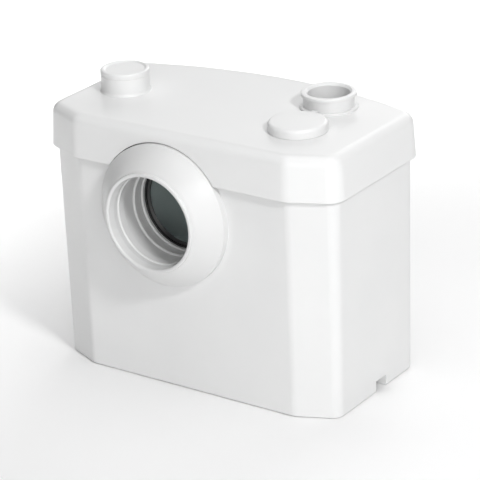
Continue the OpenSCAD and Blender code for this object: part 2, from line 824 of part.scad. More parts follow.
module suction_cover() color("#565d60") at(shaft_at, cover_z) difference() {
    union() {
        cylinder(r = volute_r, h = cover_t);
        round_pump(30, foot_ring, -cover_post) cylinder(r = cover_post_r, h = cover_post + over);
    }
    translate([0, 0, -over]) cylinder(r = eye_r, h = cover_t + 2 * over);
    round_pump(90, cover_screw_ring, -over) cylinder(r = screw_r + fit, h = cover_t + 2 * over);
}

module pump_feet() color("#222425") at(shaft_at, floor_z)
    round_pump(30, foot_ring, 0) cylinder(r = foot_pad_r, h = foot_pad_h);

// The elbow and the riser, with the straight run that comes before them
module pipe_path(r, run, grow) {
    translate([outlet_at[0], elbow_y - run, pipe_z]) rotate([-90, 0, 0]) cylinder(r = r, h = run);
    translate([outlet_at[0], elbow_y, pipe_z + elbow_r]) rotate([0, 90, 0])
        rotate_extrude(angle = 90) translate([elbow_r, 0]) circle(r = r);
    at(outlet_at, pipe_z + elbow_r) cylinder(r = r, h = pipe_top - pipe_z - elbow_r + grow);
}

module pipe_socket(r, from, to) {
    translate([outlet_at[0], from, pipe_z]) rotate([-90, 0, 0]) cylinder(r = r, h = to - from);
}

module discharge_pipe() color("#4d5254") difference() {
    union() {
        pipe_path(pipe_r, pipe_run, 0);
        pipe_socket(socket_r, socket_y, socket_stop + pipe_run / 2);
    }
    pipe_path(pipe_in_r, pipe_run + over, over);
    pipe_socket(pipe_r + fit / 2, socket_y - over, socket_stop);
}

// Discharge outlet and its non-return flap
module flap_lug() {
    translate([flap_knuckle_l / 2 + fit, flap_arm - flap_lug_half, seat_z - over])
        cube([flap_lug_t + over, stub_r, flap_z - seat_z + flap_lug_half + over]);
}

module on_hinge(length) {
    translate([-length / 2, flap_arm, flap_z]) rotate([0, 90, 0]) children();
}

module outlet_stub() color("#f4f4f3") at(outlet_at) difference() {
    rotate_extrude() polygon([
        [0, stub_end], [stub_r, stub_end], [stub_r, lid_top], [outlet_base_r, lid_top],
        [outlet_base_r, lid_top + outlet_base_t - outlet_edge],
        [outlet_base_r - outlet_edge, lid_top + outlet_base_t],
        [outlet_neck_r, lid_top + outlet_base_t], [outlet_neck_r, outlet_top - outlet_lip_t],
        [outlet_r, outlet_top - outlet_lip_t + outlet_edge], [outlet_r, outlet_top - outlet_edge],
        [outlet_r - outlet_edge, outlet_top - outlet_edge / 4], [outlet_r - outlet_mouth, outlet_top],
        [0, outlet_top]
    ]);
    translate([0, 0, seat_z + flap_room_h - over]) cylinder(r = outlet_open_r, h = outlet_h + lid_top - seat_z);
    difference() {
        translate([0, 0, seat_z]) cylinder(r = flap_room_r, h = flap_room_h);
        for (side = [0, 1]) mirror([side, 0, 0]) flap_lug();
    }
    on_hinge(flap_pin_l) cylinder(r = flap_pin_r + press, h = flap_pin_l);
    translate([0, 0, outlet_top - outlet_mouth])
        cylinder(r1 = outlet_open_r, r2 = outlet_open_r + outlet_mouth + over, h = outlet_mouth + over);
    translate([0, 0, stub_end - over]) cylinder(r = pipe_in_r, h = seat_z - stub_end + 2 * over);
    translate([0, 0, stub_end - over]) cylinder(r = pipe_r + fit, h = seat_z - seat_t - stub_end + over);
    translate([0, 0, seal_groove_z]) cylinder(r = seal_groove_r, h = seal_groove_h);
}

module pipe_seal() color("#1b1b1b") at(outlet_at, seal_groove_z)
    ring(seal_groove_r - press, pipe_r + fit, seal_groove_h);

module valve_flap() color("#2a2c2d") at(outlet_at) difference() {
    union() {
        translate([0, 0, seat_z]) cylinder(r = flap_r, h = flap_t);
        on_hinge(flap_knuckle_l) cylinder(r = flap_knuckle_r, h = flap_knuckle_l);
    }
    on_hinge(flap_pin_l) cylinder(r = flap_pin_r + running, h = flap_pin_l);
}

module flap_pin() color("#c9cccd") at(outlet_at) on_hinge(flap_pin_l) cylinder(r = flap_pin_r, h = flap_pin_l);

// Lid plugs
module aux_plug() color("#f2f2f0") at(aux_at, lid_top + aux_h) difference() {
    union() {
        rotate_extrude() polygon([
            [0, 0], [aux_d / 2, 0], [aux_d / 2, plug_head_h - plug_edge],
            [aux_d / 2 - plug_edge / 3, plug_head_h - plug_edge / 3],
            [aux_d / 2 - plug_edge, plug_head_h], [0, plug_head_h]
        ]);
        translate([0, 0, -plug_deep]) cylinder(r = aux_bore_r - fit, h = plug_deep + over);
    }
    translate([0, 0, plug_head_h - plug_dish])
        cylinder(r1 = aux_d / 2 - plug_rim - plug_edge, r2 = aux_d / 2 - plug_rim, h = plug_dish);
    translate([0, 0, -plug_deep - over]) cylinder(r = aux_bore_r - fit - plug_wall, h = plug_deep + over);
}

module filter_cap() color("#f3f3f1") at(vent_at, lid_top) {
    way = outlet_at - vent_at;
    rotate_extrude() polygon([
        [0, 0], [cap_d / 2, 0], [cap_d / 2, cap_h - cap_edge],
        [cap_d / 2 - cap_edge / 5, cap_h - cap_edge / 2], [cap_d / 2 - cap_edge * 3 / 4, cap_h - cap_edge / 10],
        [cap_d / 2 - cap_edge, cap_h], [0, cap_h]
    ]);
    translate([0, 0, -cap_spigot]) cylinder(r = vent_r - fit, h = cap_spigot + over);
    rotate([0, 0, atan2(way[1], way[0])]) translate([cap_d / 2 - tab_root, -tab_w / 2, cap_h - cap_edge - tab_t])
        cube([tab_l, tab_w, tab_t]);
}

module charcoal_filter() color("#2b2b2b") at(vent_at, ceiling_z - cage_deep + cage_t)
    cylinder(r = vent_r - fit, h = cage_deep - cage_t + lid_t - cap_spigot - fit);

// Level switch
module pressure_bell() color("#565d60") at(bell_at, floor_z) difference() {
    union() {
        cylinder(r = bell_r, h = bell_h);
        translate([0, 0, bell_h - bell_flange_t]) cylinder(r = bell_flange_r, h = bell_flange_t);
    }
    translate([0, 0, -over]) cylinder(r = bell_r - bell_t, h = bell_h + 2 * over);
    for (turn = [0, 60, 120]) rotate([0, 0, turn]) translate([-bell_d, -bell_slot / 2, -over])
        cube([2 * bell_d, bell_slot, bell_slot + over]);
}

module membrane() color("#1f1f1f") at(bell_at, bell_top) cylinder(r = membrane_d / 2, h = membrane_t);

module switch_plunger() color("#d8d4c8") at(bell_at, box_z + fit) {
    cylinder(r = plunger_disc_r, h = plunger_disc_t);
    cylinder(r = plunger_pin_r, h = plunger_top - box_z - fit);
}

module microswitch() color("#26282a") at(bell_at, switch_z) difference() {
    translate([-switch_w[0] / 2, -switch_w[1] / 2, 0]) cube(switch_w);
    translate([0, 0, -over]) cylinder(r = switch_hole_r, h = switch_hole_deep + over);
}

module box_corners() {
    reach = box_t + post_r;
    for (x = [box_x[0] + reach, box_x[1] - reach])
        for (y = [box_y[0] + reach, box_y[1] - reach])
            translate([x, y, 0]) children();
}

module control_box() color("#6a7073") difference() {
    union() {
        difference() {
            translate([box_x[0], box_y[0], box_z]) cube([box_size[0], box_size[1], box_h]);
            translate([box_x[0] + box_t, box_y[0] + box_t, box_z + box_t])
                cube([box_size[0] - 2 * box_t, box_size[1] - 2 * box_t, box_h]);
        }
        box_corners() translate([0, 0, box_z]) cylinder(r = post_r + box_t / 2, h = box_h);
        translate([box_x[0] + box_t / 2, bell_at[1] - guide_w / 2, guide_z])
            cube([box_size[0] - box_t, guide_w, guide_t]);
        for (side = [0, 1]) at(bell_at, guide_z) mirror([side, 0, 0]) {
            translate([switch_w[0] / 2 + fit, -guide_w / 2, 0])
                cube([cheek_t, guide_w, switch_z - guide_z + switch_w[2]]);
            translate([switch_w[0] / 2 - ledge_in, -guide_w / 2, 0])
                cube([ledge_w, guide_w, switch_z - guide_z]);
        }
    }
    at(bell_at, box_z - over) cylinder(r = plunger_hole_r, h = guide_z - box_z + over - running);
    at(bell_at, guide_z - over) cylinder(r = plunger_pin_r + running, h = guide_t + 2 * over);
    box_corners() translate([0, 0, box_top - post_hole]) cylinder(r = screw_r + press, h = post_hole + over);
}

module control_cover() color("#5f6568") difference() {
    translate([box_x[0], box_y[0], box_top]) cube([box_size[0], box_size[1], box_t]);
    box_corners() translate([0, 0, box_top - over]) cylinder(r = screw_r + fit, h = box_t + 2 * over);
}

module capacitor() color("#c9c9c4") at(capacitor_at, box_z + box_t) {
    cylinder(r = capacitor_r, h = capacitor_h);
    for (x = [-tag_at, tag_at]) translate([x - tag_t / 2, -tag_w / 2, capacitor_h - over])
        cube([tag_t, tag_w, tag_h + over]);
}

module cable_grommet() color("#1d1e1f") grommet_axis(grommet_boss + grommet_flange) difference() {
    union() {
        cylinder(r = grommet_r - press, h = grommet_boss + 2 * grommet_flange);
        cylinder(r = grommet_flange_r, h = grommet_flange);
        translate([0, 0, grommet_boss + grommet_flange]) cylinder(r = grommet_flange_r, h = grommet_flange);
    }
    translate([0, 0, -over]) cylinder(r = grommet_bore_r, h = grommet_boss + 2 * grommet_flange + 2 * over);
}

// Fasteners
module motor_screws() color("#c9cccd") at(shaft_at) round_motor(plate_top + motor_flange_t)
    screw(motor_flange_t + plate_t + ear_h - 2 * basket_t);

module pump_screws() color("#c9cccd") at(shaft_at) round_pump(90, cover_screw_ring, cover_z)
    mirror([0, 0, 1]) screw(cover_t + cover_screw_deep - over);

module control_screws() color("#c9cccd") box_corners()
    translate([0, 0, box_top + box_t]) screw(box_t + post_hole - 2 * over);

tank();
lid();
lid_gasket();
inlet_collar();
inlet_seal();
inlet_hopper();
basket();
blade();
motor_plate();
motor_cover();
stator_core();
windings();
rotor();
shaft();
upper_bearing();
lower_bearing();
shaft_seal();
impeller();
impeller_nut();
pump_volute();
suction_cover();
pump_feet();
discharge_pipe();
pipe_seal();
outlet_stub();
valve_flap();
flap_pin();
aux_plug();
filter_cap();
charcoal_filter();
pressure_bell();
membrane();
switch_plunger();
microswitch();
control_box();
control_cover();
capacitor();
cable_grommet();
motor_screws();
pump_screws();
control_screws();
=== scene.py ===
import math

import bmesh
import bpy
from mathutils import Matrix, Vector


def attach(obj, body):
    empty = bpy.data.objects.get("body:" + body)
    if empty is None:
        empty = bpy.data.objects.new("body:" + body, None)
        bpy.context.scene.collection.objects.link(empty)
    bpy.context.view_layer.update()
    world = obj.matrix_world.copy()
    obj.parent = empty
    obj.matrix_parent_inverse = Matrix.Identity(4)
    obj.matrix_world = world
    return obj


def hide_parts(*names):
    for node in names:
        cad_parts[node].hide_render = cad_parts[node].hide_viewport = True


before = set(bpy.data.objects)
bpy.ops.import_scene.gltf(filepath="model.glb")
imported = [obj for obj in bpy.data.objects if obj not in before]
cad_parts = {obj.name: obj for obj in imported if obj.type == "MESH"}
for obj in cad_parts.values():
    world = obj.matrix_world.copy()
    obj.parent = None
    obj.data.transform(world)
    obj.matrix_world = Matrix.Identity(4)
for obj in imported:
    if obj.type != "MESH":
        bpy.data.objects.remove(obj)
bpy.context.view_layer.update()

# Millimetre in metres, the welding distance in metres, and how far a cutter runs past its solid
MM = 0.001
WELD = 1e-6
OVERCUT = 1

# Housing sizes in millimetres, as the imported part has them
LID_FRONT = -86.0
LID_BACK = 110.0
HALF_W = 166.0
SEAM_Z = 220.0
LID_TOP = 263.0
RIM_Z = 228.0
LID_FLARE = 2.0
LID_EDGE_R = 10.5
LID_T = 3.5
CEILING_Z = LID_TOP - LID_T
SKIRT_LIP_R = 0.7
SKIRT_FOOT_IN = 1.6
LEDGE_Z = 229.6
LEDGE_T = 4.0
TANK_IN = 5.5
TANK_WALL = 4.0
FLOOR_Z = 17.0
FLOOR_FILLET = 4
FLOOR_FILLET_MID = 1.2
FOOT_IN = 7.7
FOOT_H = 13.0
FOOT_W = 10.0
FOOT_EDGE_R = 1.6
NOTCH_Y = 14.0
NOTCH_L = 18.0
NOTCH_ROOF = 1.5

# Rounded corners of the plan's right half and the bow of the back
FACET_ANGLE = 23.5
FACET_X = HALF_W - 46.0
FRONT_EDGE_R = 26.0
SIDE_EDGE_R = 20.0
BACK_CORNER_R = 20.0
BACK_BOW = 31.0
CORNER_STEPS = 14
BOW_STEPS = 48

# Pan inlet, with depths measured from the lip inwards
INLET_X = -18.0
INLET_Z = 180.0
LIP_Y = -110.0
INLET_AT = (INLET_X, LIP_Y, INLET_Z)
COLLAR_R = 71.0
COLLAR_LEN = 64.0
COLLAR_RIM = 22.0
FACE_START = 2.2
FACE_MARGIN = 0.6
FACE_SAG = 5.2
FACE_STEPS = 14
LIP_R = 49.5
BORE_R = 45.0
SLEEVE_R = 50.0
SLEEVE_GAP = 0.3
SEAT_AT = 29.5
PAD_T = 6.2
ARCH_GAP = 0.8
NUT_REACH = 10
NUT_T = 4
SEAL_SEAT = 7.0
SEAT_R = BORE_R + 2.8
SEAL_WALL = 4.3
SEAL_LIP_R = 40.5

# Steps in the inlet's bore, from the seal to the lip: extra radius, depth, corner rounding
BORE_STEPS = [
    (0, 54.0, 0.5), (1.5, 53.0, 0.6), (1.5, 45.6, 0.6), (0, 44.6, 0.5),
    (0, 41.0, 0.5), (1.7, 40.0, 0.6), (1.7, 26.0, 0.6), (0, 24.6, 0.6),
    (0, 16.0, 0.6), (1.3, 15.0, 0.5), (1.3, 11.6, 0.5), (0, 10.6, 0.4),
]

# Lid ports and the grommet in the back wall
AUX_AT = (-118.0, -1.5)
AUX_R = 24.0
AUX_H = 17.5
AUX_BORE_R = 20.5
AUX_TAIL = 22
PLUG_HEAD = 5.2
PLUG_DEPTH = 14
VENT_AT = (91.5, -16.5)
VENT_R = 22.0
CAGE_WALL = 2
CAGE_H = 24
CAP_R = 28.5
CAP_H = 9.5
CAP_DEPTH = 5
TAB_SIZE = (13, 6, 2.4)
TAB_OUT = 2.3
TAB_DOWN = 4.6
PORT_GAP = 0.3
OUTLET_AT = (83.0, 50.5)
STUB_R = 23.6
GROMMET_R = 8.0
GROMMET_Z = 202.0
GROMMET_BOSS = 7.2
GROMMET_RIM = 5

# Rounding of the sharp edges: widths, steps, the angle that counts as sharp, the shading weight
EDGE_W = 0.5
LID_EDGE_W = 0.45
EDGE_STEPS = 3
SHARP_ANGLE = 38
SHADE_WEIGHT = 60


# Shapes
def turn_points(centre, r, first, last, steps):
    made = []
    for i in range(steps + 1):
        a = math.radians(first + (last - first) * i / steps)
        made.append((centre[0] + r * math.cos(a), centre[1] + r * math.sin(a)))
    return made


def quarter(steps, first=0):
    """The angles of a quarter turn in equal steps."""
    return [math.radians(90 * i / steps) for i in range(first, steps + 1)]


def corner_table():
    """Centre, radius, first and last direction of each corner, and the circle of the back."""
    bow_r = (HALF_W ** 2 + BACK_BOW ** 2) / (2 * BACK_BOW)
    bow_y = LID_BACK - bow_r
    t = math.radians(FACET_ANGLE)
    a = (FACET_X - FRONT_EDGE_R * math.tan(t / 2), LID_FRONT + FRONT_EDGE_R)
    bx = HALF_W - SIDE_EDGE_R
    b = (bx, LID_FRONT + (math.sin(t) * (bx - FACET_X) + SIDE_EDGE_R) / math.cos(t))
    cx = HALF_W - BACK_CORNER_R
    reach = bow_r - BACK_CORNER_R
    c = (cx, bow_y + math.sqrt(reach ** 2 - cx ** 2))
    back = math.degrees(math.asin(cx / reach))
    rows = [
        (a, FRONT_EDGE_R, -90, FACET_ANGLE - 90),
        (b, SIDE_EDGE_R, FACET_ANGLE - 90, 0),
        (c, BACK_CORNER_R, 0, 90 - back),
    ]
    return rows, (0.0, bow_y), bow_r, back


CORNERS, BOW_AT, BOW_R, BACK_HALF = corner_table()


def outline(inset):
    """The housing's plan, so far inside the lid's lower edge."""
    right_half = []
    for centre, r, first, last in CORNERS:
        if inset < r:
            right_half += turn_points(centre, r - inset, first, last, CORNER_STEPS)
        else:
            mid = math.radians((first + last) / 2)
            deep = (inset - r) / math.cos(math.radians((last - first) / 2))
            corner = (centre[0] - deep * math.cos(mid), centre[1] - deep * math.sin(mid))
            right_half += [corner] * (CORNER_STEPS + 1)
    back = turn_points(BOW_AT, BOW_R - inset, 90 - BACK_HALF, 90 + BACK_HALF, BOW_STEPS)[1:-1]
    return right_half + back + [(-x, y) for x, y in reversed(right_half)]


def rounded(points, steps=5):
    """A closed profile whose corners, given as (x, y, radius), are rounded."""
    made = []
    n = len(points)
    for i, (x, y, r) in enumerate(points):
        p = Vector((x, y))
        if r <= 0:
            made.append((x, y))
            continue
        u = (Vector(points[i - 1][:2]) - p).normalized()
        v = (Vector(points[(i + 1) % n][:2]) - p).normalized()
        half = u.angle(v) / 2
        reach = r / math.tan(half)
        centre = p + (u + v).normalized() * (r / math.sin(half))
        s, e = p + u * reach - centre, p + v * reach - centre
        sweep = s.angle_signed(e)
        for k in range(steps + 1):
            a = -sweep * k / steps
            made.append((
                centre.x + s.x * math.cos(a) - s.y * math.sin(a),
                centre.y + s.x * math.sin(a) + s.y * math.cos(a),
            ))
    return made


def object_from(bm, name):
    bmesh.ops.remove_doubles(bm, verts=bm.verts, dist=1e-7)
    bmesh.ops.dissolve_degenerate(bm, edges=bm.edges, dist=1e-8)
    bmesh.ops.recalc_face_normals(bm, faces=bm.faces)
    mesh = bpy.data.meshes.new(name)
    bm.to_mesh(mesh)
    bm.free()
    obj = bpy.data.objects.new(name, mesh)
    bpy.context.scene.collection.objects.link(obj)
    return obj


def loft(levels, name="cutter"):
    """A solid through the housing's plan at each (inset, height)."""
    bm = bmesh.new()
    rings = []
    for inset, z in levels:
        rings.append([bm.verts.new((x * MM, y * MM, z * MM)) for x, y in outline(inset)])
    n = len(rings[0])
    for low, high in zip(rings, rings[1:]):
        for i in range(n):
            j = (i + 1) % n
            bm.faces.new((low[i], low[j], high[j], high[i]))
    bm.faces.new(list(reversed(rings[0])))
    bm.faces.new(rings[-1])
    return object_from(bm, name)


def lathe(profile, place, name="cutter", along_inlet=False, segments=128):
    """A closed (radius, height) profile turned about its axis, then put in its place."""
    bm = bmesh.new()
    rings = []
    for k in range(segments):
        a = 2 * math.pi * k / segments
        ring = [(r * MM * math.cos(a), r * MM * math.sin(a), z * MM) for r, z in profile]
        rings.append([bm.verts.new(point) for point in ring])
    n = len(profile)
    for k in range(segments):
        here, there = rings[k], rings[(k + 1) % segments]
        for i in range(n):
            j = (i + 1) % n
            if profile[i][0] > 0 or profile[j][0] > 0:
                bm.faces.new((here[i], there[i], there[j], here[j]))
    turn = Matrix.Rotation(math.radians(-90), 4, "X") if along_inlet else Matrix.Identity(4)
    bm.transform(Matrix.Translation(Vector(place) * MM) @ turn)
    return object_from(bm, name)


def block(low, high):
    bm = bmesh.new()
    bmesh.ops.create_cube(bm, size=1.0)
    size = (Vector(high) - Vector(low)) * MM
    middle = (Vector(high) + Vector(low)) * MM / 2
    bm.transform(Matrix.Translation(middle) @ Matrix.Diagonal((*size, 1.0)))
    return object_from(bm, "cutter")


def rod(r, z0, z1, place, along_inlet=False, segments=96):
    profile = [(0, z0), (r, z0), (r, z1), (0, z1)]
    return lathe(profile, place, along_inlet=along_inlet, segments=segments)


def weld(mesh):
    """Closes the hairline gaps and drops the empty faces that a cut leaves."""
    bm = bmesh.new()
    bm.from_mesh(mesh)
    bmesh.ops.remove_doubles(bm, verts=bm.verts, dist=WELD)
    bmesh.ops.dissolve_degenerate(bm, edges=bm.edges, dist=WELD)
    bm.to_mesh(mesh)
    bm.free()


def work(obj, operation, *others):
    """Joins, cuts or keeps the shared part of solids, and applies the result."""
    for other in others:
        step = obj.modifiers.new("step", "BOOLEAN")
        step.operation = operation
        step.solver = "EXACT"
        step.object = other
        bpy.context.view_layer.update()
        graph = bpy.context.evaluated_depsgraph_get()
        mesh = bpy.data.meshes.new_from_object(obj.evaluated_get(graph))
        weld(mesh)
        obj.modifiers.clear()
        old = obj.data
        obj.data = mesh
        bpy.data.meshes.remove(old)
        bpy.data.objects.remove(other, do_unlink=True)
    obj.data.name = obj.name


def anywhere(point):
    return True


def away_from_seat(point):
    """Whether a point of the tank is clear of the collar's seat, whose edge runs out thin."""
    reach = math.hypot(point.x - INLET_X * MM, point.z - INLET_Z * MM)
    return reach > (COLLAR_R + 1) * MM


def round_edges(obj, width, where=anywhere):
    """Small moulded rounding on the sharp edges whose ends both lie in the given place."""
    bm = bmesh.new()
    bm.from_mesh(obj.data)
    weight = bm.edges.layers.float.new("bevel_weight_edge")
    for line in bm.edges:
        sharp = line.calc_face_angle(0) > math.radians(SHARP_ANGLE)
        if sharp and all(where(v.co) for v in line.verts):
            line[weight] = 1.0
    bm.to_mesh(obj.data)
    bm.free()
    edge = obj.modifiers.new("edge", "BEVEL")
    edge.width = width * MM
    edge.segments = EDGE_STEPS
    edge.limit_method = "WEIGHT"
    edge.miter_outer = "MITER_ARC"


def shade_evenly(obj):
    obj.data.set_sharp_from_angle(angle=math.radians(SHARP_ANGLE))
    shade = obj.modifiers.new("shade", "WEIGHTED_NORMAL")
    shade.keep_sharp = True
    shade.weight = SHADE_WEIGHT


def soften(obj, width=0.0, where=anywhere):
    """Even shading, after the rounding of the edges where a width is given."""
    obj.data.polygons.foreach_set("use_smooth", [True] * len(obj.data.polygons))
    if width:
        round_edges(obj, width, where)
    shade_evenly(obj)


# Materials
def wire(tree, a, out, b, into):
    tree.links.new(a.outputs[out], b.inputs[into])


def surface(name, light, dark, rough, patch=14.0, grain=900.0, bump=0.05, metal=0.0):
    """A procedural surface: cloudy colour, uneven roughness and a fine grain."""
    mat = bpy.data.materials.new(name)
    mat.use_nodes = True
    tree = mat.node_tree
    shader = tree.nodes["Principled BSDF"]
    place = tree.nodes.new("ShaderNodeTexCoord")
    cloud = tree.nodes.new("ShaderNodeTexNoise")
    cloud.inputs["Scale"].default_value = patch
    cloud.inputs["Detail"].default_value = 5.0
    wire(tree, place, "Object", cloud, "Vector")
    ramp = tree.nodes.new("ShaderNodeValToRGB")
    ramp.color_ramp.elements[0].position = 0.3
    ramp.color_ramp.elements[1].position = 0.7
    ramp.color_ramp.elements[0].color = (*dark, 1)
    ramp.color_ramp.elements[1].color = (*light, 1)
    wire(tree, cloud, "Fac", ramp, "Fac")
    wire(tree, ramp, "Color", shader, "Base Color")
    fine = tree.nodes.new("ShaderNodeTexNoise")
    fine.inputs["Scale"].default_value = grain
    fine.inputs["Detail"].default_value = 3.0
    wire(tree, place, "Object", fine, "Vector")
    spread = tree.nodes.new("ShaderNodeMapRange")
    spread.inputs["To Min"].default_value = rough[0]
    spread.inputs["To Max"].default_value = rough[1]
    wire(tree, cloud, "Fac", spread, "Value")
    wire(tree, spread, "Result", shader, "Roughness")
    relief = tree.nodes.new("ShaderNodeBump")
    relief.inputs["Strength"].default_value = bump
    relief.inputs["Distance"].default_value = 0.0002
    wire(tree, fine, "Fac", relief, "Height")
    wire(tree, relief, "Normal", shader, "Normal")
    shader.inputs["Metallic"].default_value = metal
    return mat


WHITE = surface(
    "moulded_white", (0.77, 0.772, 0.77), (0.748, 0.751, 0.751), (0.27, 0.36), bump=0.03)
WHITE_LID = surface(
    "moulded_white_lid", (0.78, 0.782, 0.78), (0.76, 0.762, 0.762), (0.25, 0.34), bump=0.03)
# The collar is the same moulded white, painted darker as painted shade so its face does not light up
# brighter than the housing
WHITE_COLLAR_PAINTED_SHADE = surface(
    "moulded_white_collar_painted_shade", (0.69, 0.692, 0.69), (0.672, 0.674, 0.674), (0.27, 0.36), bump=0.03)
CREAM = surface(
    "cream_plastic", (0.62, 0.58, 0.48), (0.55, 0.51, 0.42), (0.4, 0.5))
# Grey-green plastic of the hopper and basket: its own tint, painted much lighter as painted light
# for the dim inside of the inlet bore
GREY_PAINTED_LIGHT = surface(
    "grey_plastic", (0.58, 0.67, 0.66), (0.52, 0.61, 0.6), (0.32, 0.46), bump=0.08)
CASING = surface(
    "casing_plastic", (0.1, 0.108, 0.112), (0.075, 0.08, 0.083), (0.4, 0.55), bump=0.1)
RUBBER = surface(
    "black_rubber", (0.022, 0.022, 0.023), (0.012, 0.012, 0.012), (0.48, 0.66),
    grain=1400.0, bump=0.12)
SEAL_RUBBER = surface(
    "seal_rubber", (0.016, 0.016, 0.017), (0.01, 0.01, 0.01), (0.24, 0.36), grain=1400.0)
STEEL = surface(
    "bare_steel", (0.62, 0.63, 0.64), (0.5, 0.51, 0.52), (0.2, 0.36),
    grain=600.0, bump=0.06, metal=1.0)
PAINT = surface(
    "motor_paint", (0.055, 0.062, 0.066), (0.04, 0.045, 0.048), (0.35, 0.5),
    grain=500.0, bump=0.2)
COPPER = surface(
    "copper_wire", (0.62, 0.27, 0.11), (0.42, 0.16, 0.06), (0.25, 0.42),
    patch=60.0, bump=0.3, metal=1.0)
CHARCOAL = surface(
    "charcoal", (0.035, 0.035, 0.036), (0.008, 0.008, 0.008), (0.7, 0.95), patch=500.0, bump=0.9)
SWITCH = surface(
    "switch_plastic", (0.03, 0.032, 0.035), (0.018, 0.019, 0.021), (0.4, 0.55), bump=0.08)
CAN = surface(
    "can_aluminium", (0.78, 0.78, 0.76), (0.66, 0.66, 0.64), (0.3, 0.44),
    grain=450.0, bump=0.08, metal=0.9)


def settle(obj, body, material, node):
    """Gives a finished piece its material and body, and hides the node it stands for."""
    obj.data.materials.clear()
    obj.data.materials.append(material)
    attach(obj, body)
    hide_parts(node)


# Tank: drafted walls, foot wall with hold-down notches, flat seat behind the collar
def tank_cuts():
    cuts = [loft([(FOOT_IN + FOOT_W, -OVERCUT), (FOOT_IN + FOOT_W, FOOT_H)])]
    for side in (-1, 1):
        x0 = side * (HALF_W - FOOT_IN - FOOT_W - OVERCUT)
        x1 = side * (HALF_W + OVERCUT)
        cuts.append(block(
            (min(x0, x1), NOTCH_Y - NOTCH_L / 2, -OVERCUT),
            (max(x0, x1), NOTCH_Y + NOTCH_L / 2, FOOT_H - NOTCH_ROOF)))
    hole_r = SLEEVE_R + SLEEVE_GAP
    near, far = SEAT_AT - OVERCUT, SEAT_AT + PAD_T + OVERCUT
    cuts.append(rod(hole_r, near, far, INLET_AT, along_inlet=True))
    cuts.append(block(
        (INLET_X - hole_r, LIP_Y + near, INLET_Z),
        (INLET_X + hole_r, LIP_Y + far, RIM_Z + OVERCUT)))
    cuts.append(rod(GROMMET_R, -GROMMET_BOSS - OVERCUT, GROMMET_BOSS,
                    (0, LID_BACK - TANK_IN, GROMMET_Z), along_inlet=True))
    return cuts


def make_tank():
    skin = [(FOOT_IN + FOOT_EDGE_R, 0.0)]
    for a in quarter(6, first=1):
        skin.append((FOOT_IN + FOOT_EDGE_R * (1 - math.sin(a)), FOOT_EDGE_R * (1 - math.cos(a))))
    skin.append((TANK_IN, RIM_Z))
    tank = loft(skin, "tank_shell")
    inside = FOOT_IN + TANK_WALL
    hollow = loft([
        (inside + FLOOR_FILLET, FLOOR_Z), (inside + FLOOR_FILLET_MID, FLOOR_Z + FLOOR_FILLET_MID),
        (inside, FLOOR_Z + FLOOR_FILLET), (inside, RIM_Z + OVERCUT)])
    # The seat ends inside the wall, so no two faces lie in one plane
    seat = rod(COLLAR_R, SEAT_AT, SEAT_AT + PAD_T - 1, INLET_AT, along_inlet=True, segments=128)
    work(seat, "INTERSECT", loft([(TANK_IN / 2, 1), (TANK_IN / 2, RIM_Z)]))
    work(tank, "UNION", seat)
    work(tank, "DIFFERENCE", hollow)
    pad_at = (0, LID_BACK - TANK_IN - GROMMET_BOSS, GROMMET_Z)
    work(tank, "UNION", rod(GROMMET_R + GROMMET_RIM, 0, GROMMET_BOSS, pad_at, along_inlet=True))
    work(tank, "DIFFERENCE", *tank_cuts())
    soften(tank, EDGE_W, away_from_seat)
    settle(tank, "tank", WHITE, "tank")


# Lid: flared skirt, rounded top edge, arch round the collar, auxiliary inlet and vent cage
def lid_hollow():
    inner_r = LID_EDGE_R - LID_T
    side = LID_FLARE + LID_T
    levels = [
        (LID_T, SEAM_Z - OVERCUT), (LID_T, LEDGE_Z), (TANK_IN + TANK_WALL, LEDGE_Z),
        (TANK_IN + TANK_WALL, LEDGE_Z + LEDGE_T), (side, LEDGE_Z + LEDGE_T)]
    for a in quarter(8):
        levels.append((side + inner_r * (1 - math.cos(a)), CEILING_Z - inner_r * (1 - math.sin(a))))
    return loft(levels)


def make_lid():
    skin = [(SKIRT_FOOT_IN, SEAM_Z), (SKIRT_LIP_R, SEAM_Z)]
    for a in quarter(4, first=1):
        skin.append((SKIRT_LIP_R * (1 - math.sin(a)), SEAM_Z + SKIRT_LIP_R * (1 - math.cos(a))))
    round_z = LID_TOP - LID_EDGE_R
    for a in quarter(14):
        skin.append((LID_FLARE + LID_EDGE_R * (1 - math.cos(a)), round_z + LID_EDGE_R * math.sin(a)))
    lid = loft(skin, "lid_shell")
    work(lid, "DIFFERENCE", lid_hollow())
    aux_at, vent_at, outlet_at = ((*spot, 0) for spot in (AUX_AT, VENT_AT, OUTLET_AT))
    tail = CEILING_Z - AUX_TAIL
    aux_top = LID_TOP + AUX_H
    tube = lathe(rounded([
        (0, tail, 0), (AUX_R, tail, 0.8), (AUX_R, LID_TOP - 1.5, 0),
        (AUX_R + 2.6, LID_TOP - 1.5, 0), (AUX_R + 2.6, LID_TOP - 0.2, 0),
        (AUX_R + 0.9, LID_TOP + 0.35, 0.8), (AUX_R, LID_TOP + 2.6, 2.0),
        (AUX_R, aux_top - 0.05, 0.6), (0, aux_top - 0.05, 0),
    ]), aux_at)
    cage = rod(VENT_R + CAGE_WALL, CEILING_Z - CAGE_H, CEILING_Z + OVERCUT, vent_at)
    work(lid, "UNION", tube, cage)
    arch_end = SEAT_AT + PAD_T + 6
    work(
        lid, "DIFFERENCE",
        rod(AUX_BORE_R, tail - OVERCUT, aux_top + OVERCUT, aux_at),
        rod(VENT_R, CEILING_Z - CAGE_H + CAGE_WALL, LID_TOP + OVERCUT, vent_at),
        rod(STUB_R + PORT_GAP, CEILING_Z - OVERCUT, LID_TOP + OVERCUT, outlet_at),
        rod(COLLAR_R + ARCH_GAP, 0, arch_end, INLET_AT, along_inlet=True, segments=160))
    soften(lid, LID_EDGE_W)
    settle(lid, "lid", WHITE_LID, "lid")


